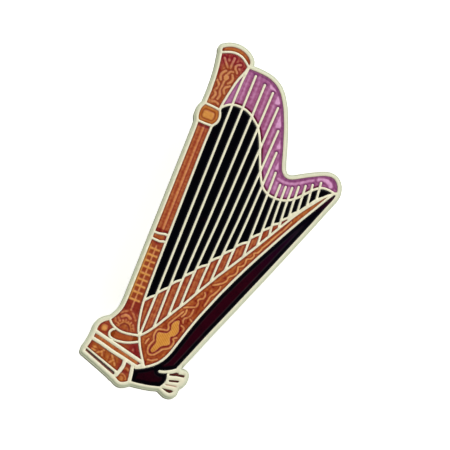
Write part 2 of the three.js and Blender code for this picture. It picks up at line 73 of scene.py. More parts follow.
def make_camera():
    data = bpy.data.cameras.new("camera")
    data.lens = LENS
    data.sensor_width = SENSOR
    data.clip_start, data.clip_end = 0.01, 10
    camera = bpy.data.objects.new("camera", data)
    scene.collection.objects.link(camera)
    right = Vector((math.cos(ROLL), math.sin(ROLL), 0))
    up = Vector((-math.sin(ROLL), math.cos(ROLL), 0))
    side = right * math.cos(TILT_SIDE) + up * math.sin(TILT_SIDE)
    back = Vector((0, 0, math.cos(TILT))) + side * math.sin(TILT)
    x_axis = (right - back * right.dot(back)).normalized()
    y_axis = back.cross(x_axis)
    turn = Matrix((x_axis, y_axis, back)).transposed()
    distance = VIEW_WIDTH * LENS / SENSOR * MM
    target = Vector((*(VIEW_CENTRE + SHIFT), FRONT)) * MM
    camera.matrix_world = Matrix.Translation(target + back * distance) @ turn.to_4x4()
    scene.camera = camera


def make_world():
    """Soft white studio: dark straight overhead, dimmer and greener on the side of DIM_SIDE."""
    world = bpy.data.worlds.new("studio")
    world.use_nodes = True
    nodes, links = world.node_tree.nodes, world.node_tree.links
    background = nodes["Background"]
    place = nodes.new("ShaderNodeTexCoord")
    split = nodes.new("ShaderNodeSeparateXYZ")
    height = nodes.new("ShaderNodeValToRGB")
    links.new(place.outputs["Generated"], split.inputs[0])
    links.new(split.outputs["Z"], height.inputs[0])
    stops = [(0.0, 0.62), (0.35, 0.85), (0.6, 1.3), (0.93, 1.35), (0.972, 0.06), (1.0, 0.03)]
    set_ramp(height, [(at, (v, v, v)) for at, v in stops])
    turned = nodes.new("ShaderNodeVectorMath")
    turned.operation = "DOT_PRODUCT"
    links.new(place.outputs["Generated"], turned.inputs[0])
    turned.inputs[1].default_value = (-math.cos(DIM_SIDE), -math.sin(DIM_SIDE), 0)
    side = nodes.new("ShaderNodeValToRGB")
    set_ramp(side, [(0.0, (0.16, 0.17, 0.14)), (0.28, (0.52, 0.55, 0.47)), (0.48, (1, 1, 1)),
                    (1.0, (1.4, 1.4, 1.4))])
    halved = maths(nodes, links, "MULTIPLY_ADD", turned.outputs["Value"], 0.5, 0.5)
    links.new(halved, side.inputs[0])
    both = nodes.new("ShaderNodeVectorMath")
    both.operation = "MULTIPLY"
    links.new(height.outputs[0], both.inputs[0])
    links.new(side.outputs[0], both.inputs[1])
    links.new(both.outputs[0], background.inputs["Color"])
    background.inputs["Strength"].default_value = 1.0
    scene.world = world


def set_ramp(node, stops):
    elements = node.color_ramp.elements
    while len(elements) < len(stops):
        elements.new(0.5)
    for element, (at, colour) in zip(elements, stops):
        element.position = at
        element.color = (*colour, 1)


def new_material(name):
    material = bpy.data.materials.new(name)
    material.use_nodes = True
    nodes, links = material.node_tree.nodes, material.node_tree.links
    return material, nodes, links, nodes["Principled BSDF"]


def make_floor():
    data = bpy.data.meshes.new("floor")
    half = FLOOR_HALF
    corners = [(-half, -half, 0), (half, -half, 0), (half, half, 0), (-half, half, 0)]
    data.from_pydata(corners, [], [(0, 1, 2, 3)])
    floor = bpy.data.objects.new("floor", data)
    scene.collection.objects.link(floor)
    material, _, _, shader = new_material("pale_table")
    shader.inputs["Base Color"].default_value = (0.93, 0.93, 0.93, 1)
    shader.inputs["Roughness"].default_value = 0.9
    shader.inputs["Specular IOR Level"].default_value = 0.0
    shader.inputs["Emission Color"].default_value = (1, 1, 1, 1)
    shader.inputs["Emission Strength"].default_value = 0.42
    data.materials.append(material)


# ------------------------------------------------------------------ plane outlines of the CAD
SAME_HEIGHT, SHORTEST_STEP = 2e-3, 0.015


def outlines(node, height):
    """Loops around the flat faces of a CAD node at one height, with metal on their left."""
    mesh = frame["nodes"][node].data
    corners = np.array([v.co for v in mesh.vertices]) / MM
    mesh.calc_loop_triangles()
    tris = np.array([t.vertices[:] for t in mesh.loop_triangles])
    flat = np.all(np.abs(corners[tris][:, :, 2] - height) < SAME_HEIGHT, axis=1)
    names = {}
    ids = np.array([names.setdefault((round(float(x), 4), round(float(y), 4)), len(names))
                    for x, y in corners[:, :2]])
    points = np.array(list(names)) - np.array(SHIFT)
    edges = set()
    for a, b, c in ids[tris[flat]]:
        edges |= {(a, b), (b, c), (c, a)}
    following = {}
    for a, b in edges:
        if (b, a) not in edges:
            following.setdefault(a, []).append(b)
    loops = []
    while following:
        loop = [min(following)]
        while True:
            here = loop[-1]
            there = following[here].pop()
            if not following[here]:
                del following[here]
            if there == loop[0]:
                break
            loop.append(there)
        loops.append(points[loop])
    return loops


def resampled(loop, spacing):
    """The loop without its shortest steps, and with no step longer than spacing."""
    step = np.linalg.norm(loop - np.roll(loop, 1, axis=0), axis=1)
    loop = loop[step > SHORTEST_STEP]
    out = []
    for a, b in zip(loop, np.roll(loop, -1, axis=0)):
        n = max(1, math.ceil(float(np.linalg.norm(b - a)) / spacing))
        out += [a + (b - a) * k / n for k in range(n)]
    return np.array(out)


def left_normals(loop):
    along = np.roll(loop, -1, axis=0) - np.roll(loop, 1, axis=0)
    along /= np.maximum(np.linalg.norm(along, axis=1, keepdims=True), 1e-9)
    return np.stack([-along[:, 1], along[:, 0]], axis=1)


def inside(points, loops):
    """Even-odd test of each point against all loops."""
    odd = np.zeros(len(points), bool)
    for loop in loops:
        for a, b in zip(loop, np.roll(loop, -1, axis=0)):
            if a[1] == b[1]:
                continue
            spans = (points[:, 1] > min(a[1], b[1])) & (points[:, 1] <= max(a[1], b[1]))
            x = a[0] + (points[:, 1] - a[1]) * (b[0] - a[0]) / (b[1] - a[1])
            odd ^= spans & (points[:, 0] < x)
    return odd


def band(first, second, n):
    """Faces between two closed rings of n corners, which start at first and at second."""
    return [(first + i, first + (i + 1) % n, second + (i + 1) % n, second + i) for i in range(n)]


class Edge:
    """Distance in the plane from any point to the nearest of some loops."""

    def __init__(self, loops):
        corners, quads = [], []
        for loop in loops:
            n, base = len(loop), len(corners)
            corners += [(x, y, z) for z in (-1, 1) for x, y in loop]
            quads += band(base, base + n, n)
        self.tree = BVHTree.FromPolygons(corners, quads)

    def distance(self, points):
        near = self.tree.find_nearest
        return np.array([near((x, y, 0))[3] for x, y in points]) if len(points) else np.zeros(0)


def ring_points(loops, steps):
    edge = Edge(loops)
    kept = []
    for loop in loops:
        normals = left_normals(loop)
        for step in steps:
            ring = loop + normals * step
            kept.append(ring[edge.distance(ring) > 0.9 * step])
    return np.concatenate(kept)


def grid_points(loops, pitch, margin):
    every = np.concatenate(loops)
    low, high = every.min(axis=0), every.max(axis=0)
    xs = np.arange(low[0], high[0] + pitch, pitch)
    ys = np.arange(low[1], high[1] + pitch, pitch * math.sqrt(3) / 2)
    grid = np.array([(x + (pitch / 2 if j % 2 else 0), y) for j, y in enumerate(ys) for x in xs])
    grid = grid[inside(grid, loops)]
    return grid[Edge(loops).distance(grid) > margin]


def triangulated(loops, extra):
    """Triangles of the area on the left of the loops, through their points and the extra ones."""
    points, edges = [], []
    for loop in loops:
        n, base = len(loop), len(points)
        points += [Vector(p) for p in loop]
        edges += [(base + i, base + (i + 1) % n) for i in range(n)]
    points += [Vector(p) for p in extra]
    corners, _, faces, _, _, _ = delaunay_2d_cdt(points, edges, [], 0, 1e-5)
    corners, faces = np.array([c[:] for c in corners]), np.array(faces)
    faces = faces[inside(corners[faces].mean(axis=1), loops)]
    a, b, c = (corners[faces[:, k]] for k in range(3))
    turn = (b[:, 0] - a[:, 0]) * (c[:, 1] - a[:, 1]) - (b[:, 1] - a[:, 1]) * (c[:, 0] - a[:, 0])
    faces[turn < 0] = faces[turn < 0][:, ::-1]
    used, faces = np.unique(faces, return_inverse=True)
    return corners[used], faces.reshape(-1, 3)


def border_of(faces):
    directed = {(f[k], f[(k + 1) % 3]) for f in faces for k in range(3)}
    return [(a, b) for a, b in directed if (b, a) not in directed]


# ------------------------------------------------------------------ meshes
class Build:
    """Gathers corners and faces in mm of the drawing, then makes one piece in the shared frame."""

    def __init__(self):
        self.corners, self.faces, self.values, self.count = [], [], [], 0

    def add(self, corners, faces, values=None):
        base = self.count
        self.corners.append(np.asarray(corners, float))
        self.faces += [tuple(int(i) + base for i in f) for f in faces]
        self.count += len(corners)
        self.values.append(np.zeros((len(corners), 3)) if values is None else values)
        return base

    def make(self, name, body, material, replaced, angle=35, merge=4e-7):
        corners = np.concatenate(self.corners)
        corners[:, :2] += np.array(SHIFT)
        data = bpy.data.meshes.new(name)
        data.from_pydata([tuple(c) for c in corners * MM], [], self.faces)
        values = np.concatenate(self.values)
        for k, key in enumerate(("relief", "tint", "edge")):
            layer = data.attributes.new(key, "FLOAT", "POINT")
            layer.data.foreach_set("value", values[:, k].astype(np.float32))
        weld(data, merge)
        return finish_piece(data, name, body, material, replaced, angle)


def weld(data, distance):
    work = bmesh.new()
    work.from_mesh(data)
    bmesh.ops.remove_doubles(work, verts=work.verts, dist=distance)
    bmesh.ops.recalc_face_normals(work, faces=work.faces)
    work.to_mesh(data)
    work.free()


def finish_piece(data, name, body, material, replaced, angle):
    data.shade_smooth()
    data.set_sharp_from_angle(angle=math.radians(angle))
    piece = bpy.data.objects.new(name, data)
    scene.collection.objects.link(piece)
    data.materials.append(material)
    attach(piece, body)
    if replaced:
        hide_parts(*replaced)
    return piece


def fillet(distance, radius):
    d = np.clip(distance, 0, radius)
    return radius - np.sqrt(np.maximum(radius ** 2 - (radius - d) ** 2, 0))


# ------------------------------------------------------------------ relief of the enamel
LINE_ROUND = 0.075
SHOULDER_ROUND = 0.32
LINE_SPACING = 0.3
ENAMEL_TOP = FRONT - 0.06
RELIEF_HEIGHT = 0.03
RIM_DIP = 0.02
RIM_SHADE = 0.25
GLASS_GAP = 0.002
GLASS_SPACING, GLASS_PITCH, PLAIN_PITCH = 0.16, 0.085, 0.2
ENAMEL_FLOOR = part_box("soundbox_enamel")[0].z / MM


def material_enamel(name):
    """Fired enamel: its colour runs from deep in the grooves to light over the raised relief,
    partly as the enamel thins over the struck ground and partly as painted shading of that relief.
    """
    tones = [srgb(*colour) for colour in PALETTE[name]]
    material, nodes, links, shader = new_material(name)
    relief, tint, edge = (attribute(nodes, key) for key in ("relief", "tint", "edge"))
    place = nodes.new("ShaderNodeTexCoord")
    cloud = noise(nodes, links, place, 900, 3, 0.6)
    mottle = noise(nodes, links, place, 3600, 2, 0.5)
    level = maths(nodes, links, "MULTIPLY_ADD", cloud, 0.6, -0.3)
    spots = maths(nodes, links, "MULTIPLY_ADD", mottle, 0.7, -0.35)
    level = maths(nodes, links, "ADD", level, spots)
    level = maths(nodes, links, "ADD", level, relief)
    level = maths(nodes, links, "MULTIPLY_ADD", level, 0.5, 0.5)
    mix = nodes.new("ShaderNodeMix")
    mix.data_type = "RGBA"
    links.new(tint, mix.inputs["Factor"])
    for side, colours in (("A", tones[:3]), ("B", tones[3:])):
        ramp = nodes.new("ShaderNodeValToRGB")
        set_ramp(ramp, list(zip((0.0, 0.5, 1.0), colours)))
        links.new(level, ramp.inputs[0])
        links.new(ramp.outputs[0], mix.inputs[side])
    # Painted shade along the cell's rim, where it meets the gold walls: the deep tone darkened by
    # RIM_SHADE.
    rim_shade_colour = [part * RIM_SHADE for part in tones[0]]
    shade = blend(nodes, links, edge, mix.outputs["Result"], rim_shade_colour)
    links.new(shade, shader.inputs["Base Color"])
    grain = noise(nodes, links, place, 4000, 2, 0.5)
    rough = maths(nodes, links, "MULTIPLY_ADD", grain, 0.06, 0.09)
    links.new(rough, shader.inputs["Roughness"])
    shader.inputs["Specular IOR Level"].default_value = 0.18
    shader.inputs["Coat Weight"].default_value = 0.22
    shader.inputs["Coat Roughness"].default_value = 0.06
    add_bump(nodes, links, shader, grain, 0.08, 2e-5)
    return material


def attribute(nodes, key):
    node = nodes.new("ShaderNodeAttribute")
    node.attribute_name = key
    return node.outputs["Fac"]


def noise(nodes, links, place, scale, detail, roughness):
    node = nodes.new("ShaderNodeTexNoise")
    node.inputs["Scale"].default_value = scale
    node.inputs["Detail"].default_value = detail
    node.inputs["Roughness"].default_value = roughness
    links.new(place.outputs["Object"], node.inputs["Vector"])
    return node.outputs["Fac"]


def maths(nodes, links, operation, a, b, c=None):
    node = nodes.new("ShaderNodeMath")
    node.operation = operation
    for socket, value in zip(node.inputs, (a, b, c)):
        if isinstance(value, bpy.types.NodeSocket):
            links.new(value, socket)
        elif value is not None:
            socket.default_value = value
    return node.outputs[0]


def srgb(*colour):
    """A colour as seen, 0 to 255, as the linear colour that shaders take."""
    return tuple(v / 3294.6 if v <= 10.3 else ((v / 255 + 0.055) / 1.055) ** 2.4 for v in colour)


# Each enamel has two colours, each of them in the grooves, on the flat and over the ridges; the
# step from groove to ridge is partly painted shading of the relief.
PALETTE = {
    "orange_enamel": [(120, 12, 14), (170, 84, 40), (220, 152, 84), (140, 66, 12), (184, 110, 38),
                      (222, 154, 70)],
    "brown_enamel": [(116, 8, 22), (157, 68, 41), (216, 140, 84), (112, 26, 8), (172, 94, 36),
                     (222, 156, 80)],
    "crimson_enamel": [(88, 2, 16), (140, 30, 38), (202, 126, 100), (108, 22, 8), (158, 74, 38),
                       (212, 142, 84)],
    "purple_enamel": [(112, 42, 98), (168, 97, 144), (224, 164, 208), (88, 2, 26), (136, 34, 70),
                      (180, 96, 134)],
    "black_enamel": [(0, 0, 2), (0, 0, 5), (44, 0, 14), (0, 0, 4), (0, 0, 10), (18, 0, 30)],
    "umber_enamel": [(40, 8, 8), (92, 38, 32), (206, 148, 118), (18, 2, 4), (60, 16, 16),
                     (120, 56, 44)],
}


def add_bump(nodes, links, shader, grain, strength, distance):
    bump = nodes.new("ShaderNodeBump")
    bump.inputs["Strength"].default_value = strength
    bump.inputs["Distance"].default_value = distance
    links.new(grain, bump.inputs["Height"])
    links.new(bump.outputs[0], shader.inputs["Normal"])


def metal(name, low, high, scales, rough):
    """A metal with a clouded colour and a fine grain in its roughness."""
    material, nodes, links, shader = new_material(name)
    shader.inputs["Metallic"].default_value = 1
    place = nodes.new("ShaderNodeTexCoord")
    cloud = noise(nodes, links, place, scales[0], 4, 0.6)
    ramp = nodes.new("ShaderNodeValToRGB")
    set_ramp(ramp, [(0.25, low), (0.75, high)])
    links.new(cloud, ramp.inputs[0])
    links.new(ramp.outputs[0], shader.inputs["Base Color"])
    grain = noise(nodes, links, place, scales[1], 3, 0.6)
    links.new(maths(nodes, links, "MULTIPLY_ADD", grain, *rough), shader.inputs["Roughness"])
    return material, ramp.outputs[0], grain


def material_gold():
    """Pale plating: painted shade on the shoulder (edge), standing for the darker surroundings it
    reflects, and the same colour at half strength in the hatch grooves of the back; dark at its
    foot with painted shade on the side wall (tint); reddish in the mark.
    """
    material, colour, grain = metal("gold_plating", (0.84, 0.80, 0.60), (0.91, 0.87, 0.67),
                                    (500, 9000), (0.2, 0.42))
    nodes, links = material.node_tree.nodes, material.node_tree.links
    shader = nodes["Principled BSDF"]
    # Painted shade: the shoulder's greenish grey stands for darker surroundings reflected there.
    colour = blend(nodes, links, attribute(nodes, "edge"), colour, (0.58, 0.60, 0.45))
    # Painted shade: the near-black on the side wall stands for the shadow at the plate's edge.
    colour = blend(nodes, links, attribute(nodes, "tint"), colour, (0.11, 0.10, 0.06))
    colour = blend(nodes, links, attribute(nodes, "relief"), colour, (0.36, 0.14, 0.09))
    links.new(colour, shader.inputs["Base Color"])
    shader.inputs["Specular Tint"].default_value = (0.12, 0.13, 0.11, 1)
    add_bump(nodes, links, shader, grain, 0.12, 1e-5)
    return material


def blend(nodes, links, factor, base, colour):
    mix = nodes.new("ShaderNodeMix")
    mix.data_type = "RGBA"
    links.new(factor, mix.inputs["Factor"])
    links.new(base, mix.inputs["A"])
    mix.inputs["B"].default_value = (*colour, 1)
    return mix.outputs["Result"]


# ------------------------------------------------------------------ the struck plate
HATCH_SPACING = 1.3
HATCH = 2 * math.pi / HATCH_SPACING
SHALLOW_MARK = np.array([(2.72, -19.48), (3.72, -19.27)])
MARK_DEPTH, HATCH_DEPTH = 0.05, 0.05
BACK_ROUND = 0.12
# Painted shade on the plate's side wall, as relief, tint and edge values.
SIDE_SHADE = (0, 0.85, 0.8)
PAD_CLEAR = (1.9, 2.3)


def build_plate(material):
    loops = [resampled(loop, LINE_SPACING) for loop in outlines("plate", FRONT)]
    areas = [area_of(loop) for loop in loops]
    outer = loops[int(np.argmax(areas))]
    wells = [loop for loop in loops if loop is not outer]
    extra = np.concatenate([
        ring_points(loops, (0.03, 0.075)),
        offset_ring(outer, (0.12, 0.17, 0.23, 0.32), loops),
        grid_points(loops, 0.45, 0.14),
        [place + (0, step) for place in np.linspace(*SHALLOW_MARK, 12)
         for step in (-0.14, -0.07, 0, 0.07, 0.14)],
    ])
    points, faces = triangulated(loops, extra)
    top = FRONT - fillet(Edge(wells).distance(points), LINE_ROUND)
    top -= fillet(Edge([outer]).distance(points), SHOULDER_ROUND)
    # Painted shade on the shoulder, full within 0.18 mm of the outline and gone by 0.42 mm.
    shoulder = 1 - rise(Edge([outer]).distance(points), 0.18, 0.42)
    mark = bell(path_distance(points, SHALLOW_MARK), 0.07)
    top -= MARK_DEPTH * mark
    build = Build()
    build.add(np.column_stack([points, top]), faces,
              np.column_stack([mark, np.zeros(len(points)), shoulder]))
    low = BACK + BACK_ROUND
    for loop in wells:
        wall(build, loop, [(FRONT - LINE_ROUND, (0, 0, 0)), (ENAMEL_FLOOR, (0, 0, 0))])
        flat, tris = triangulated([loop[::-1]], np.zeros((0, 2)))
        build.add(lift(flat, ENAMEL_FLOOR), tris)
    foot = FRONT - SHOULDER_ROUND
    # The outer wall takes painted shade: the shoulder colour at its top, near black further down.
    wall(build, outer, [(foot, (0, 0, 1)), (foot - 0.12, (0, 0.7, 1)),
                        (BACK + 0.6, SIDE_SHADE), (low, SIDE_SHADE)])
    rounded = outer + left_normals(outer) * BACK_ROUND
    n = len(outer)
    base = build.add(np.concatenate([lift(outer, low), lift(rounded, BACK)]), [],
                     np.repeat([SIDE_SHADE, (0, 0, 0)], n, axis=0))
    build.faces += [(base + i, base + n + i, base + n + (i + 1) % n, base + (i + 1) % n)
                    for i in range(n)]
    flat, tris = triangulated([rounded], grid_points([rounded], 0.2, 0.12))
    x, y = flat.T
    hatch = np.maximum(np.cos((x + y) * HATCH), np.cos((x - y) * HATCH))
    inward = rise(Edge([rounded]).distance(flat), 0.5, 0.9)
    pads = np.min([np.hypot(*(flat - np.array(place)).T) for place in POSTS], axis=0)
    inward = inward * rise(pads, *PAD_CLEAR)
    cut = inward * (1 - hatch ** 2)
    build.add(lift(flat, BACK + HATCH_DEPTH * cut), tris[:, ::-1],
              np.column_stack([np.zeros((len(flat), 2)), 0.5 * cut]))
    return build.make("struck_plate", "pin", material, ["plate"])


def area_of(loop):
    after = np.roll(loop, -1, axis=0)
    return float(np.sum(loop[:, 0] * after[:, 1] - loop[:, 1] * after[:, 0]) / 2)


def offset_ring(loop, steps, loops):
    every = Edge(loops)
    kept = []
    for step in steps:
        ring = loop + left_normals(loop) * step
        near = every.distance(ring)
        kept.append(ring[(near > 0.05) & inside(ring, loops)])
    return np.concatenate(kept)


def lift(points, z):
    return np.column_stack([points, np.full(len(points), z)])


def wall(build, loop, rows):
    """Upright wall under a loop; each row is a height and the three values of its corners."""
    n = len(loop)
    base = build.add(np.concatenate([lift(loop, z) for z, _ in rows]), [],
                     np.repeat(np.array([values for _, values in rows], float), n, axis=0))
    for r in range(len(rows) - 1):
        top, under = base + r * n, base + (r + 1) * n
        build.faces += [(top + (i + 1) % n, top + i, under + i, under + (i + 1) % n)
                        for i in range(n)]


# ------------------------------------------------------------------ the enamel
def build_enamel(node, material):
    kind = node.replace("_enamel", "").rstrip("_0123456789")
    pitch = PLAIN_PITCH if kind == "open_string" else GLASS_PITCH
    loops = [resampled(loop, GLASS_SPACING) for loop in outlines(node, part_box(node)[1].z / MM)]
    extra = np.concatenate([ring_points(loops, (0.035, 0.08)), grid_points(loops, pitch, 0.11)])
    points, faces = triangulated(loops, extra)
    rim = Edge(loops).distance(points)
    relief, tint, edge = struck(kind, points, rim)
    top = ENAMEL_TOP + RELIEF_HEIGHT * np.clip(relief, -1, 1) - RIM_DIP * bell(rim, 0.06)
    build = Build()
    build.add(np.column_stack([points, top]), faces, np.column_stack([relief, tint, edge]))
    # The enamel's sides and underside take the full painted rim shade.
    skirt_values = np.column_stack([relief, tint, np.ones(len(points))])
    border = border_of(faces)
    low = build.add(lift(points, ENAMEL_FLOOR + GLASS_GAP), [], skirt_values)
    high = build.add(np.column_stack([points, top]), [], np.column_stack([relief, tint, edge]))
    build.faces += [(high + b, high + a, low + a, low + b) for a, b in border]
    flat, tris = triangulated(loops, np.zeros((0, 2)))
    build.add(lift(flat, ENAMEL_FLOOR + GLASS_GAP), tris[:, ::-1], np.ones((len(flat), 3)))
    name = node.replace("_enamel", "_glass")
    return build.make(name, "pin", material, [node], angle=50)


# ------------------------------------------------------------------ relief of each cell
# Places and widths are mm of the drawing. Heights are parts of RELIEF_HEIGHT: a positive one is a
# raised ridge, a negative one a cut groove.
class Relief:
    """Height and colour of the struck ground under the enamel, gathered feature by feature."""

    def __init__(self, points, rim):
        self.points, self.rim = points, rim
        self.up, self.down, self.tint, self.grain = np.zeros((4, len(points)))

    def stroke(self, path, height, width=0.1):
        line = curve(path) if len(path) > 2 else np.array(path, float)
        near = path_distance(self.points, line)
        self.press(height * np.exp(-(near / width) ** 4 * 0.7))
        if height > 0:
            self.press(-0.7 * height * np.exp(-((near - 1.75 * width) / (0.6 * width)) ** 2))

    def spot(self, centre, reach, height, power=2.0):
        away = (self.points - np.array(centre)) / np.array(reach)
        self.press(height * np.exp(-np.hypot(*away.T) ** power * 0.9))

    def press(self, height):
        self.up = np.maximum(self.up, height)
        self.down = np.minimum(self.down, height)

    def fill(self, outline, soft=0.06):
        """How far each point is inside an outline, from 0 to 1."""
        loop = curve(outline, closed=True)
        away = path_distance(self.points, np.vstack([loop, loop[:1]]))
        signed = np.where(inside(self.points, [loop]), away, -away)
        return rise(signed, -soft, soft)

    def weave(self, across, along, height):
        """Fine crossed lines left by the engraving of the die."""
        x, y = self.points.T
        waves = 0.6 * np.sin(2 * math.pi * x / across) + 0.4 * np.sin(2 * math.pi * y / along)
        self.grain += height * waves

    def values(self, base, width, amount):
        """The three values at each point; the rim gets painted shade over a width, by an amount."""
        level = base + self.up + self.down + self.grain
        return level, np.clip(self.tint, 0, 1), amount * bell(self.rim, width)


LOOKS = {}


def look(*kinds, base=0.0, shade=(0.1, 0.0)):
    """Registers what strikes the relief of some kinds of cell, its base level and painted rim
    shade.
    """
    def register(strike):
        for kind in kinds:
            LOOKS[kind] = strike, base, shade
        return strike
    return register


def struck(kind, points, rim):
    strike, base, shade = LOOKS[kind]
    r = Relief(points, rim)
    strike(r, *points.T)
    return r.values(base, *shade)


def bell(x, width, power=2):
    return np.exp(-(x / width) ** power)


def rise(x, low, high):
    t = np.clip((x - low) / (high - low), 0, 1)
    return t * t * (3 - 2 * t)


def curve(path, steps=6, closed=False):
    """Points of a smooth curve through the path."""
    p = np.array(path, float)
    before, after = (p[-1:], p[:2]) if closed else (2 * p[:1] - p[1:2], 2 * p[-1:] - p[-2:-1])
    p = np.vstack([before, p, after])
    t = np.linspace(0, 1, steps, endpoint=False)[:, None]
    out = []
    for a, b, c, d in zip(p, p[1:], p[2:], p[3:]):
        out.append(0.5 * (2 * b + (c - a) * t + (2 * a - 5 * b + 4 * c - d) * t ** 2
                          + (3 * b - a - 3 * c + d) * t ** 3))
    out.append(p[-2:-1])
    return np.vstack(out[:-1] if closed else out)


def path_distance(points, line):
    best = np.full(len(points), 1e9)
    for a, b in zip(line, line[1:]):
        along = b - a
        t = np.clip((points - a) @ along / max(float(along @ along), 1e-12), 0, 1)
        best = np.minimum(best, np.hypot(*(points - a - t[:, None] * along).T))
    return best


@look("crown", base=-0.02, shade=(0.09, 0.35))
def crown(r, x, y):
    r.press(0.25 * bell(r.rim - 0.3, 0.14))
    r.press(-0.75 * rise(-x, 5.45, 5.7))
    r.press(-0.45 * rise(x, -3.0, -2.3))


@look("capital", base=0.14, shade=(0.1, 0.3))
def capital(r, x, y):
    for path in CAPITAL_RIDGES:
        r.stroke(path, 0.75, 0.13)
    diamond = np.abs(x + 4.15) / 0.36 + np.abs(y - 17.42) / 0.62
    r.press(1.0 * rise(-diamond, -1.05, -0.8))
    r.spot((-4.6, 19.5), (0.2, 0.22), 0.6, 3)
    r.spot((-3.55, 19.7), (0.12, 0.12), 0.6)
    r.spot((-3.02, 18.9), (0.14, 0.12), 0.75)
    r.spot((-4.85, 18.35), (0.12, 0.12), 0.45)
    r.spot((-4.78, 14.15), (0.26, 0.3), 0.9)
    for path in CAPITAL_GROOVES:
        r.stroke(path, -0.45, 0.11)
    r.tint = 1 - np.clip(0.9 * rise(y, 18.4, 19.8) + 0.7 * rise(-x, 4.8, 5.2) * rise(y, 16.5, 18.0)
                         + 0.6 * rise(x, -3.5, -2.8) * rise(y, 16.8, 18.4) + 0.12, 0, 1)
    r.weave(0.4, 0.45, 0.1)


CAPITAL_RIDGES = [
    [(-5.2, 19.55), (-4.81, 19.1), (-4.4, 18.62)],
    [(-4.05, 19.96), (-4.08, 19.3), (-4.12, 18.67)],
    [(-3.05, 19.47), (-3.42, 19.3), (-3.56, 19.04), (-3.46, 18.76), (-3.13, 18.4)],
    [(-4.46, 18.18), (-4.8, 17.75), (-4.87, 17.36), (-4.68, 16.95)],
    [(-3.62, 18.36), (-3.92, 18.24), (-4.08, 17.97)],
    [(-3.6, 17.99), (-3.34, 17.55), (-3.43, 17.12), (-3.68, 16.84)],
    [(-4.23, 16.85), (-4.24, 16.4), (-4.33, 15.86), (-4.26, 15.55), (-4.09, 15.16), (-4.19, 14.62)],
    [(-5.02, 16.75), (-4.68, 16.35), (-4.63, 16.0), (-4.86, 15.64)],
    [(-3.36, 16.6), (-3.76, 16.29), (-3.88, 15.98), (-3.68, 15.53)],
    [(-4.92, 15.45), (-4.6, 15.15), (-4.64, 14.84), (-4.8, 14.5)],
    [(-4.6, 14.16), (-4.25, 14.26), (-3.9, 14.1)],
]
CAPITAL_GROOVES = [
    [(-4.9, 19.75), (-4.6, 19.1), (-4.3, 18.9)],
    [(-4.3, 19.85), (-4.33, 19.2)],
    [(-3.8, 19.8), (-3.85, 19.0), (-3.7, 18.5)],
    [(-4.5, 17.8), (-4.58, 17.4), (-4.42, 16.9), (-4.44, 16.2)],
    [(-3.78, 17.9), (-3.68, 17.4), (-3.95, 16.9), (-4.03, 16.3)],
    [(-5.1, 18.0), (-5.1, 17.2)],
    [(-4.45, 15.7), (-4.38, 15.0), (-4.4, 14.5), (-3.95, 14.45), (-3.85, 14.9)],
]


@look("knob", shade=(0.1, 0.3))
def knob(r, x, y):
    box = rounded_box(r.points, (-4.48, 12.44), (0.62, 0.4), 0.2)
    r.press(0.75 * rise(-box, -0.02, 0.05))
    r.press(0.4 * bell(box - 0.02, 0.07) + 0.35 * rise(-box, -0.02, 0.05))
    r.press(-0.75 * bell(box - 0.17, 0.09))
    r.press(0.25 * bell(r.rim - 0.24, 0.1))
    r.tint = np.full(len(r.points), 0.5)


def rounded_box(points, centre, half, radius):
    """Signed distance to a box with round corners, negative inside."""
    away = np.abs(points - np.array(centre)) - np.array(half) + radius
    return np.hypot(*np.maximum(away, 0).T) + np.minimum(away.max(axis=1), 0) - radius


@look("column", base=0.16, shade=(0.13, 0.4))
def column(r, x, y):
    r.press(0.6 * bell(x + 4.48, 0.13, 4))
    r.press(-0.35 * bell(x + 4.24, 0.08))
    r.press(-0.25 * bell(x + 4.74, 0.08))
    r.press(0.12 * bell(x + 5.0, 0.12))
    ends = rise(y, 10.75, 10.9) + rise(-y, 2.3, 2.45)
    r.press(-0.95 * ends)
    r.weave(0.3, 0.45, 0.12)


@look("column_ring", base=-0.1, shade=(0.08, 0.35))
def column_ring(r, x, y):
    r.press(-0.9 * rise(x, -4.1, -3.85))
    r.press(-0.35 * rise(-x, 5.05, 5.25))
    r.press(0.2 * bell(y + 3.35, 0.12))


SUN_RAYS = 18
FOOT_BARS = (-4.93, -5.73, -6.5, -7.27, -8.1, -8.89, -9.69, -10.5, -11.44)


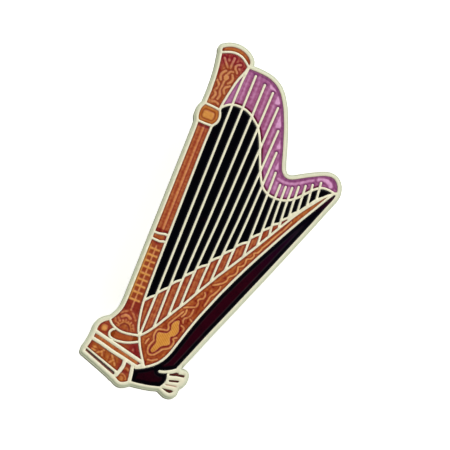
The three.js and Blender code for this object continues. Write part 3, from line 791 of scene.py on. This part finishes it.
@look("column_foot", base=0.04, shade=(0.12, 0.5))
def column_foot(r, x, y):
    checker = rise(y, -11.65, -11.5) * rise(-y, 4.3, 4.6)
    bars = sum(bell(y - bar, 0.13, 4) for bar in FOOT_BARS) * rise(-x, 3.75, 3.95)
    spine = bell(x + 4.47, 0.1, 4) * rise(y, -12.9, -12.75) * rise(-y, 4.35, 4.5)
    margin = rise(-x, 4.95, 5.08)
    r.press(checker * np.maximum(0.85 * bars, 0.45 * margin))
    r.press(0.75 * spine)
    r.press(-0.35 * checker * (1 - np.clip(bars + margin, 0, 1)) * (1 - spine))
    r.tint = checker * np.clip(0.85 * bars + 0.8 * margin + 0.3, 0, 1)
    r.spot((-4.5, -4.15), (0.35, 0.2), -0.7)
    flutes = rise(-y, 11.55, 11.7) * rise(y, -13.1, -12.8)
    r.press(-0.6 * flutes * (1 - spine))
    for path in FOOT_RIDGES:
        r.stroke(path, 0.5, 0.12)
    r.stroke([(-5.15, -13.85), (-4.85, -13.6), (-4.55, -13.55), (-4.15, -13.75)], 0.85, 0.16)
    hub = np.array((-4.38, -15.1))
    away = r.points - hub
    reach, turn = np.hypot(*away.T), np.arctan2(away[:, 1], away[:, 0])
    upper = rise(away[:, 1], -0.05, 0.1)
    rays = 0.5 + 0.5 * np.cos(turn * SUN_RAYS)
    r.press(upper * 0.75 * rays * bell(reach - 1.0, 0.2, 4))
    r.press(upper * 0.55 * bell(reach - 0.76, 0.09))
    r.press(-0.9 * upper * bell(reach - 0.57, 0.11))
    r.press(-0.25 * rise(-reach, -1.5, -1.3) * rise(reach, 1.15, 1.25) * upper)
    r.tint = np.maximum(r.tint, upper * 0.5 * rise(-reach, -1.15, -0.6))
    r.weave(0.45, 0.4, 0.12)


FOOT_RIDGES = [
    [(-4.45, -12.72), (-4.9, -13.05), (-5.45, -13.5)],
    [(-4.45, -12.72), (-4.0, -13.12), (-3.5, -13.72)],
    [(-5.85, -14.35), (-5.6, -14.7)],
    [(-5.5, -14.1), (-5.25, -14.45)],
    [(-3.55, -14.35), (-3.2, -14.9)],
]


@look("base_left", base=0.05, shade=(0.1, 0.3))
def base_left(r, x, y):
    r.spot((-6.6, -15.88), (0.3, 0.32), 1.0, 3)
    box = rounded_box(r.points, (-6.62, -15.86), (0.5, 0.5), 0.3)
    r.press(-0.55 * bell(box, 0.09))
    r.press(-0.6 * rise(x, -6.0, -5.7))
    r.tint = 0.7 * rise(-rounded_box(r.points, (-6.62, -15.86), (0.36, 0.38), 0.3), -0.05, 0.05)


@look("base_crescent", base=-0.3, shade=(0.1, 0.35))
def base_crescent(r, x, y):
    r.press(-1.0 * rise(-x, 5.12, 5.3))
    r.press(-0.9 * rise(x, -3.15, -2.95))
    r.press(0.2 * bell(r.rim - 0.3, 0.1))
    r.tint = 0.7 * (rise(-x, 5.12, 5.3) + rise(x, -3.15, -2.95))


@look("base_wedge", base=-0.16, shade=(0.1, 0.3))
def base_wedge(r, x, y):
    r.spot((-2.5, -17.08), (0.16, 0.16), 0.9)
    r.spot((-3.3, -17.05), (0.4, 0.12), 0.2)
    near = path_distance(r.points, np.array([(-2.5, -16.7), (-2.15, -17.2)]))
    r.press(-0.5 * bell(near, 0.15))
    r.tint = 0.2 + 0.75 * rise(-x, 2.7, 3.5)


@look("base_moulding", base=0.05, shade=(0.05, 0.3))
def base_moulding(r, x, y):
    r.press(-0.28 * bell(r.rim - 0.2, 0.05))
    r.press(0.3 * bell(r.rim - 0.11, 0.05))
    r.press(-1.0 * rise(-x, 7.2, 7.3))
    r.press(-1.0 * rise(x, -1.55, -1.3))


@look("base_panel", shade=(0.12, 0.45))
def base_panel(r, x, y):
    for path in PANEL_RIDGES:
        r.stroke(path, 0.65, 0.11)
    r.spot((-6.82, -18.46), (0.26, 0.13), 0.7, 3)
    r.spot((-5.0, -18.98), (0.22, 0.16), 0.35, 3)
    for path in PANEL_GROOVES:
        r.stroke(path, -0.5, 0.09)
    r.press(-0.5 * rise(x, -3.6, -3.3))
    r.press(-0.4 * rise(-x, 7.15, 7.3))
    r.tint = np.clip(0.65 - 0.9 * rise(x, -3.8, -3.4) - 0.5 * rise(-x, 7.0, 7.3), 0, 1)
    r.weave(0.5, 0.4, 0.12)


PANEL_RIDGES = [
    [(-6.4, -18.98), (-5.95, -18.68), (-5.68, -18.42)],
    [(-5.86, -18.65), (-5.66, -19.08)],
    [(-4.6, -18.6), (-4.24, -19.06), (-3.84, -19.6)],
    [(-4.2, -19.1), (-4.58, -19.5)],
    [(-7.1, -18.75), (-6.6, -18.8)],
]
PANEL_GROOVES = [
    [(-6.55, -18.25), (-6.2, -18.6)],
    [(-5.45, -18.55), (-5.35, -19.2)],
    [(-4.75, -18.85), (-4.75, -19.35)],
    [(-4.15, -18.75), (-3.85, -19.2)],
    [(-6.0, -18.95), (-5.85, -19.2)],
]


@look("base_scroll", base=-0.1, shade=(0.12, 0.35))
def base_scroll(r, x, y):
    r.stroke([(-2.75, -19.55), (-2.4, -19.42), (-2.05, -19.6)], 0.5, 0.12)
    r.stroke([(-2.95, -20.3), (-2.6, -20.22), (-2.2, -20.4), (-2.05, -20.7)], 0.6, 0.11)
    r.spot((-2.5, -20.7), (0.34, 0.34), 0.55, 4)
    r.stroke([(-2.85, -20.5), (-2.5, -20.36), (-2.18, -20.62)], -0.5, 0.07)
    r.stroke([(-2.7, -19.9), (-2.3, -19.85)], -0.6, 0.2)
    r.stroke([(-2.6, -18.9), (-2.1, -18.95)], -0.35, 0.2)
    r.tint = 0.6 * rise(-y, 19.9, 20.4) + 0.35 * bell(y + 19.4, 0.3)


@look("base_groove", shade=(0.06, 0.3))
def base_groove(r, x, y):
    near = path_distance(r.points, np.array([(-7.7, -19.24), (-3.6, -20.68)]))
    r.press(0.4 * bell(near, 0.1, 4))
    r.press(-0.9 * rise(near, 0.1, 0.18))


BEAN_GRAIN = 26
BEAN = [
    (1.05, -11.95), (1.4, -11.8), (1.52, -12.3), (1.7, -12.75), (1.74, -13.2), (1.5, -13.7),
    (1.12, -13.95), (1.15, -14.3), (1.33, -14.75), (1.1, -15.05), (0.65, -15.3), (0.35, -15.6),
    (0.1, -16.1), (-0.25, -16.5), (-0.52, -16.3), (-0.42, -15.8), (-0.27, -15.3), (-0.4, -14.8),
    (-0.52, -14.3), (-0.38, -13.97), (0.1, -13.86), (0.6, -13.65), (0.83, -13.2), (0.72, -12.7),
    (0.78, -12.35),
]
BEAN_RIDGE = [
    (1.43, -10.6), (1.06, -11.25), (0.54, -12.15), (0.31, -12.62), (0.5, -13.1), (0.4, -13.4),
    (-0.03, -13.5), (-0.57, -13.65), (-0.77, -14.04), (-0.8, -14.58), (-0.69, -14.89),
    (-0.6, -15.1), (-0.76, -15.5), (-0.9, -15.98), (-0.86, -16.44), (-0.65, -16.8), (-0.26, -16.84),
    (0.13, -16.6), (0.48, -16.13), (0.75, -15.74), (1.21, -15.47), (1.52, -15.2), (1.71, -14.74),
    (1.68, -14.35), (1.5, -14.06), (1.85, -13.8),
]
BOARD_RIDGES = [
    [(2.72, -9.0), (2.69, -9.39), (2.3, -9.7), (1.76, -9.89), (1.32, -10.14)],
    [(2.46, -9.95), (2.44, -10.5), (2.26, -11.0), (1.92, -11.25), (1.79, -11.56), (1.87, -11.87)],
    [(2.45, -11.12), (2.78, -11.35)],
    [(1.83, -12.26), (2.2, -12.4), (2.24, -12.8)],
    [(1.75, -10.25), (1.72, -10.75), (1.45, -11.25)],
    [(2.62, -9.4), (2.71, -9.05), (2.57, -8.61), (3.04, -8.27), (3.14, -7.84), (2.97, -7.54)],
    [(4.46, -6.16), (4.4, -6.6), (4.06, -7.3), (3.76, -7.74), (3.62, -8.44), (3.48, -9.05)],
    [(3.55, -6.36), (4.06, -6.03), (4.59, -5.64), (4.89, -5.2), (4.92, -4.76), (5.29, -4.41),
     (5.59, -4.06), (5.64, -3.62), (5.55, -3.19), (5.9, -2.97), (6.16, -2.57), (6.16, -1.96),
     (6.6, -1.7), (6.82, -1.26), (6.72, -0.98), (7.08, -0.72), (7.3, -0.35), (7.42, 0.1),
     (7.75, 0.6), (8.0, 1.15), (8.55, 2.2), (9.1, 3.2), (9.5, 4.2)],
    [(-1.22, -15.15), (-1.33, -15.45), (-1.4, -15.8)],
    [(-0.42, -17.5), (0.1, -17.4), (0.6, -17.05)],
]
BOARD_SPOTS = [
    ((2.3, -11.45), -0.8), ((1.68, -11.95), -0.8), ((1.92, -12.82), -0.9), ((0.17, -12.95), -0.8),
    ((2.2, -10.05), -0.8), ((3.62, -6.55), -0.9), ((4.59, -4.98), -0.95), ((5.35, -3.7), -0.4),
    ((2.2, -8.8), -0.8), ((3.2, -7.45), -0.8), ((3.3, -9.1), -0.8), ((2.2, -10.25), -0.7),
    ((4.1, -6.6), -0.5), ((-0.55, -17.85), -0.9), ((1.5, -11.4), -0.5), ((3.25, -6.95), -0.3),
    ((2.75, -8.0), -0.5), ((2.5, -9.35), -0.4), ((6.0, -2.6), -0.3), ((1.35, -15.85), -0.5),
    ((3.6, -7.05), 0.6), ((1.3, -10.6), 0.2),
]
BOARD_SHADES = [
    ((2.95, -9.8), (0.5, 1.3)), ((2.35, -11.6), (0.45, 1.1)), ((2.15, -13.3), (0.35, 0.9)),
    ((0.05, -12.8), (0.3, 0.5)), ((-1.35, -16.4), (0.25, 0.8)), ((3.3, -8.4), (0.3, 0.5)),
]


@look("soundboard", base=-0.14, shade=(0.12, 0.4))
def soundboard(r, x, y):
    bean = r.fill(BEAN)
    near = path_distance(r.points, curve(BEAN, closed=True))
    r.press(-1.0 * bell(near - 0.08, 0.11) * (1 - bean))
    r.stroke(BEAN_RIDGE, 1.0, 0.1)
    grain = np.sin((x * 0.62 + y * 0.78) * BEAN_GRAIN)
    r.press(bean * (0.8 + 0.3 * grain))
    for path in BOARD_RIDGES:
        r.stroke(path, 1.0, 0.1)
    for centre, height in BOARD_SPOTS:
        r.spot(centre, (0.2, 0.2), height)
    for centre, reach in BOARD_SHADES:
        r.spot(centre, reach, -0.5)
    r.down *= 1 - bean
    tip = rise(y, 3.5, 6)
    r.press(0.25 * tip)
    r.press(-0.3 * rise(-y, 15.0, 17.5))
    r.tint = bean
    r.weave(0.5, 0.42, 0.14 * (1 - bean))
    r.press(0.35 * bell(r.rim - 0.3, 0.12))


@look("soundboard_band", base=-0.08, shade=(0.12, 0.4))
def soundboard_band(r, x, y):
    r.press(0.3 * rise(r.rim, 0.12, 0.28))
    r.weave(0.42, 0.9, 0.3)
    r.press(-0.45 * rise(-y, -y.min() - 0.9, -y.min() - 0.1) * rise(-r.rim, -0.3, -0.1))


@look("soundbox")
def soundbox(r, x, y):
    stripe = rise(r.rim, 0.36, 0.6)
    foot = rise(-y, 17.2, 18.4)
    r.press(stripe * (0.9 - 0.35 * foot))
    r.press(0.9 * rise(y, 6.0, 8.0))
    r.tint = rise(y, -6, 4) * 0.75 * (1 - rise(y, 6.0, 8.0)) + 0.3 * rise(y, 6.0, 8.0)


NECK_TOP = [
    (-2.0, 19.5), (-1.2, 19.47), (-0.3, 19.43), (0.65, 19.3), (1.42, 19.02), (2.1, 18.6),
    (2.63, 18.07), (3.12, 17.36), (3.62, 16.49), (4.12, 15.35), (4.57, 14.25), (5.02, 12.96),
    (5.37, 11.9), (5.67, 10.9), (5.95, 10.07), (6.25, 9.4), (6.7, 8.98), (7.17, 8.88), (7.72, 8.99),
    (8.36, 9.35), (9.1, 9.82), (9.9, 10.26), (10.75, 10.69), (11.4, 10.93), (11.95, 11.0),
    (12.42, 10.9), (12.85, 10.55), (13.1, 10.1),
]
NECK_FACETS = [
    [(2.45, 17.62), (2.62, 17.55), (3.02, 16.98), (2.75, 16.72), (2.42, 16.75)],
    [(3.58, 15.55), (3.72, 15.3), (4.1, 14.35), (3.8, 14.1), (3.5, 14.2)],
    [(4.65, 12.75), (4.78, 12.5), (5.02, 11.95), (4.8, 11.75), (4.58, 11.85)],
    [(5.4, 10.15), (5.52, 9.95), (5.62, 9.5), (5.45, 9.35), (5.33, 9.5)],
    [(1.05, 18.6), (1.5, 18.45), (2.05, 18.1), (1.7, 18.12), (1.25, 18.2)],
]
NECK_RIDGES = [
    (-1.62, 15.0, 18.85), (-0.25, 15.4, 18.7), (1.1, 14.6, 18.3), (2.38, 13.2, 16.6),
    (3.42, 11.6, 14.0), (4.2, 9.0, 11.6), (5.15, 7.4, 9.3), (6.1, 6.8, 8.2), (6.95, 6.7, 8.1),
    (7.7, 6.8, 8.1),
]
STRING_TIPS = [
    (-0.91, 18.92), (0.49, 18.32), (1.74, 17.79), (2.97, 16.34), (4.01, 13.78), (4.77, 11.25),
    (5.56, 8.98), (6.6, 7.84), (7.3, 7.87), (8.07, 8.05), (8.75, 8.45), (9.48, 8.88), (10.22, 9.31),
    (11.07, 9.91),
]


@look("neck", shade=(0.13, 0.32))
def neck(r, x, y):
    border = path_distance(r.points, curve(NECK_TOP))
    r.press(-0.62 * rise(-border, -0.42, -0.3))
    r.press(0.3 * bell(border - 0.1, 0.08))
    for ridge, low, high in NECK_RIDGES:
        ends = rise(y, low, low + 0.3) * rise(-y, -high, 0.3 - high)
        r.press(0.5 * ends * bell(x - ridge, 0.16))
    for facet in NECK_FACETS:
        r.press(1.0 * r.fill(facet, 0.09))
    r.stroke([(6.15, 8.42), (6.9, 8.3), (7.7, 8.42), (8.5, 8.78), (9.4, 9.4), (10.3, 10.0),
              (10.9, 10.2)], 0.55, 0.15)
    r.stroke([(10.7, 10.18), (11.3, 10.38), (11.9, 10.25), (12.3, 9.95)], 0.95, 0.24)
    for tip in STRING_TIPS:
        away = np.hypot(*(r.points - np.array(tip)).T)
        r.press(-0.75 * bell(away - 0.24, 0.1) * rise(y - tip[1], -0.1, 0.05))
    r.press(0.35 * rise(-x, 1.6, 1.95) * rise(-r.rim, -0.5, -0.1))
    bottom = path_distance(r.points, curve(BRIDGE_TOP))
    r.press(-0.9 * rise(-bottom, -0.28, -0.1))
    r.tint = 0.8 * rise(-bottom, -0.3, -0.1) + 0.3 * rise(border, 0.6, 1.6) * rise(y, 9.5, 11)
    r.weave(0.55, 0.6, 0.16)


BRIDGE_TOP = [
    (-3.2, 14.3), (-2.6, 14.7), (-1.95, 14.89), (-1.2, 14.93), (-0.35, 14.78), (0.33, 14.47),
    (1.0, 13.97), (1.66, 13.4), (2.18, 12.62), (2.64, 11.71), (3.09, 10.55), (3.44, 9.65),
    (3.83, 8.72), (4.27, 7.84), (4.7, 7.1), (5.17, 6.66), (5.73, 6.36), (6.41, 6.26), (7.08, 6.28),
    (7.7, 6.44), (8.33, 6.75), (9.0, 7.31), (9.64, 8.02), (10.25, 8.73), (10.88, 9.29),
]


@look("neck_wedge", base=-0.05, shade=(0.12, 0.3))
def neck_wedge(r, x, y):
    r.press(0.15 * rise(r.rim, 0.1, 0.22))
    r.press(-0.3 * rise(y, 17.0, 17.8))


@look("open_string", base=-0.1)
def open_string(r, x, y):
    """Plain enamel."""


@look("pedal_slot_upper", "pedal_slot_middle", "pedal_slot_lower", base=-0.15, shade=(0.08, 0.5))
def pedal_slot(r, x, y):
    """Plain enamel."""


# ------------------------------------------------------------------ posts and clutches
CLUTCH_TOP = BACK - 2.2
SHEET = 0.36
ROUND_STEPS, POST_STEPS = 96, 48
PIN_RADIUS, NECK_RADIUS, PAD_RADIUS = 0.6, 0.42, 1.7


def circle(centre, radius, steps):
    turn = np.linspace(0, 2 * math.pi, steps, endpoint=False)
    return np.column_stack([centre[0] + radius * np.cos(turn), centre[1] + radius * np.sin(turn)])


def lathe(build, centre, outline, steps=ROUND_STEPS, closed=False):
    """Turns an outline of (radius, height) around the vertical line through centre."""
    rows = [lift(circle(centre, radius, steps), height) for radius, height in outline]
    base = build.add(np.concatenate(rows), [])
    last = len(outline) if closed else len(outline) - 1
    for i in range(last):
        j = (i + 1) % len(outline)
        build.faces += band(base + i * steps, base + j * steps, steps)


def softened(outline, radius, steps=4):
    """The outline with each inner corner cut by a small arc."""
    out = [outline[0]]
    for before, corner, after in zip(outline, outline[1:], outline[2:]):
        a, b, c = (np.array(p, float) for p in (before, corner, after))
        reach = min(radius, np.linalg.norm(a - b) * 0.45, np.linalg.norm(c - b) * 0.45)
        start = b + (a - b) / max(np.linalg.norm(a - b), 1e-9) * reach
        end = b + (c - b) / max(np.linalg.norm(c - b), 1e-9) * reach
        for t in np.linspace(0, 1, steps):
            out.append(start * (1 - t) ** 2 + 2 * b * t * (1 - t) + end * t ** 2)
    return out + [outline[-1]]


def build_post(name, centre, material):
    """Soldered pad with a bead, ribbed shoulder, and a pointed pin with a neck for the jaws."""
    stop = CLUTCH_TOP + 0.25
    outline = [(0.0, BACK - 8.0), (0.12, BACK - 8.0), (PIN_RADIUS, BACK - 7.2),
               (PIN_RADIUS, BACK - 6.85), (NECK_RADIUS, BACK - 6.65),
               (NECK_RADIUS, BACK - 6.35), (PIN_RADIUS, BACK - 6.15)]
    for k in range(5):
        z = BACK - 5.6 + 0.5 * k
        outline += [(PIN_RADIUS, z - 0.06), (0.565, z), (PIN_RADIUS, z + 0.06)]
    outline += [(PIN_RADIUS, stop), (0.95, stop), (1.05, stop + 0.1)]
    for k in range(4):
        z = stop + 0.28 + 0.25 * k
        outline += [(1.06, z - 0.07), (1.02, z), (1.08, z + 0.07)]
    outline += [(1.15, BACK - 0.5), (1.5, BACK - 0.36), (PAD_RADIUS, BACK - 0.26),
                (PAD_RADIUS, BACK)]
    build = Build()
    lathe(build, centre, softened(outline, 0.05, 3), POST_STEPS)
    build.add(lift(circle(centre, PAD_RADIUS, POST_STEPS), BACK), [range(POST_STEPS)])
    build.make(f"{name}_pin", "pin", material, [f"{name}_post"], angle=40)


def build_cup(name, centre, material):
    """Pressed cup: collar at the hole, three rings struck into the sheet, and a rolled edge."""
    top = CLUTCH_TOP
    upper = [(0.8, top + 0.2), (1.6, top + 0.2), (1.85, top + 0.06), (2.1, top)]
    for ring in (2.75, 3.45, 4.15):
        upper += [(ring - 0.2, top), (ring - 0.08, top - 0.09), (ring + 0.08, top - 0.09),
                  (ring + 0.2, top)]
    upper += [(5.0, top), (5.4, top - 0.3), (5.5, top - 0.55), (5.5, top - 1.32),
              (5.44, top - 1.42), (5.5, top - 1.6)]
    lower = [(5.14, top - 1.6), (5.1, top - 1.42), (5.14, top - 1.3), (5.04, top - 0.56),
             (4.85, top - SHEET)]
    for ring in (4.15, 3.45, 2.75):
        lower += [(ring + 0.2, top - SHEET), (ring + 0.08, top - SHEET - 0.09),
                  (ring - 0.08, top - SHEET - 0.09), (ring - 0.2, top - SHEET)]
    lower += [(2.1, top - SHEET), (1.85, top + 0.06 - SHEET), (1.6, top + 0.2 - SHEET),
              (0.8, top + 0.2 - SHEET)]
    build = Build()
    outline = softened(upper + lower, 0.07, 3)
    lathe(build, centre, outline, closed=True)
    build.make(f"{name}_clutch_dish", f"{name}_clutch", material, [f"{name}_clutch_cup"],
               angle=40)


WING_SIDE = [
    (0.86, -1.25), (1.35, -1.75), (2.0, -2.5), (2.55, -3.5), (3.4, -4.75), (4.3, -5.6),
    (4.92, -6.02),
]
WING_HALF, WING_CORNER, WING_REACH = 2.6, 1.9, 5.1
RIB_HEIGHT, GRIP_DEPTH, GRIP_PITCH = 0.13, 0.05, 0.42


def build_wing(name, side, centre, material):
    """A bent strip: jaw beside the post, knee, and a flared grip with a rib and grooves."""
    sign = 1 if side == "right" else -1
    path = curve(WING_SIDE, 10)
    along = np.gradient(path, axis=0)
    along /= np.linalg.norm(along, axis=1, keepdims=True)
    normal = np.column_stack([-along[:, 1], along[:, 0]])
    walk = np.concatenate([[0], np.cumsum(np.linalg.norm(np.diff(path, axis=0), axis=1))])
    across = np.linspace(-1, 1, 41)
    rows = []
    for (x, z), (nx, nz), s in zip(path, normal, walk):
        left = np.clip((x - (WING_REACH - WING_CORNER)) / WING_CORNER, 0, 0.985)
        half = WING_HALF - WING_CORNER + WING_CORNER * math.sqrt(1 - left ** 2)
        y = across * half
        rib = RIB_HEIGHT * bell(y, 0.55, 4) * rise(s, 2.0, 2.8) * rise(-s, -6.2, -5.2)
        grip = GRIP_DEPTH * (0.5 + 0.5 * math.cos(s * 2 * math.pi / GRIP_PITCH))
        grip = grip * rise(s, 4.6, 5.0) * rise(-s, -7.0, -6.6)
        grip = grip * rise(np.abs(y), 0.75, 0.95) * rise(-np.abs(y), -2.1, -1.7)
        edge = np.sqrt(np.maximum(1 - np.clip((np.abs(y) - half + 0.12) / 0.12, 0, 1) ** 2, 0.04))
        ends = math.sqrt(max(1 - max(0, (0.12 - min(s, walk[-1] - s)) / 0.12) ** 2, 0.04))
        thick = SHEET / 2 * edge * ends
        ring = []
        for offset, order in ((thick + rib + grip, slice(None)),
                              (-thick + rib, slice(None, None, -1))):
            points = np.column_stack([x + nx * offset, y, z + nz * offset])
            ring.append(points[order])
        rows.append(np.concatenate(ring))
    n, m = len(rows), len(rows[0])
    corners = np.concatenate(rows)
    corners[:, :2] *= sign
    corners += np.array([*centre, CLUTCH_TOP])
    faces = [(i * m + k, i * m + (k + 1) % m, (i + 1) * m + (k + 1) % m, (i + 1) * m + k)
             for i in range(n - 1) for k in range(m)]
    caps = [tuple(range(m)), tuple(range((n - 1) * m, n * m))]
    build = Build()
    build.add(corners, faces + caps)
    build.make(f"{name}_grip_{side}", f"{name}_wing_{side}", material,
               [f"{name}_clutch_wing_{side}"], angle=45)


def build_hardware(material):
    for name, centre in zip(("upper", "lower"), POSTS):
        build_post(name, centre, material)
        build_cup(name, centre, material)
        for side in ("right", "left"):
            build_wing(name, side, centre, material)


# ------------------------------------------------------------------ assembly
make_camera()
make_world()
make_floor()
scene.view_settings.view_transform = "Standard"
gold = material_gold()
nickel, _, _ = metal("nickel_plating", (0.60, 0.58, 0.54), (0.72, 0.70, 0.66),
                     (400, 7000), (0.15, 0.2))
build_plate(gold)
build_hardware(nickel)

ENAMELS = {name: material_enamel(name) for name in PALETTE}
slots = {entry["node"]: entry["material_slot"] for entry in frame["record"]["subparts"]}
for node in sorted(frame["nodes"]):
    if node.endswith("enamel") or "_enamel_" in node:
        build_enamel(node, ENAMELS[slots[node]])
    elif node.endswith("spring"):
        data = frame["nodes"][node].data
        data.materials.clear()
        data.materials.append(nickel)
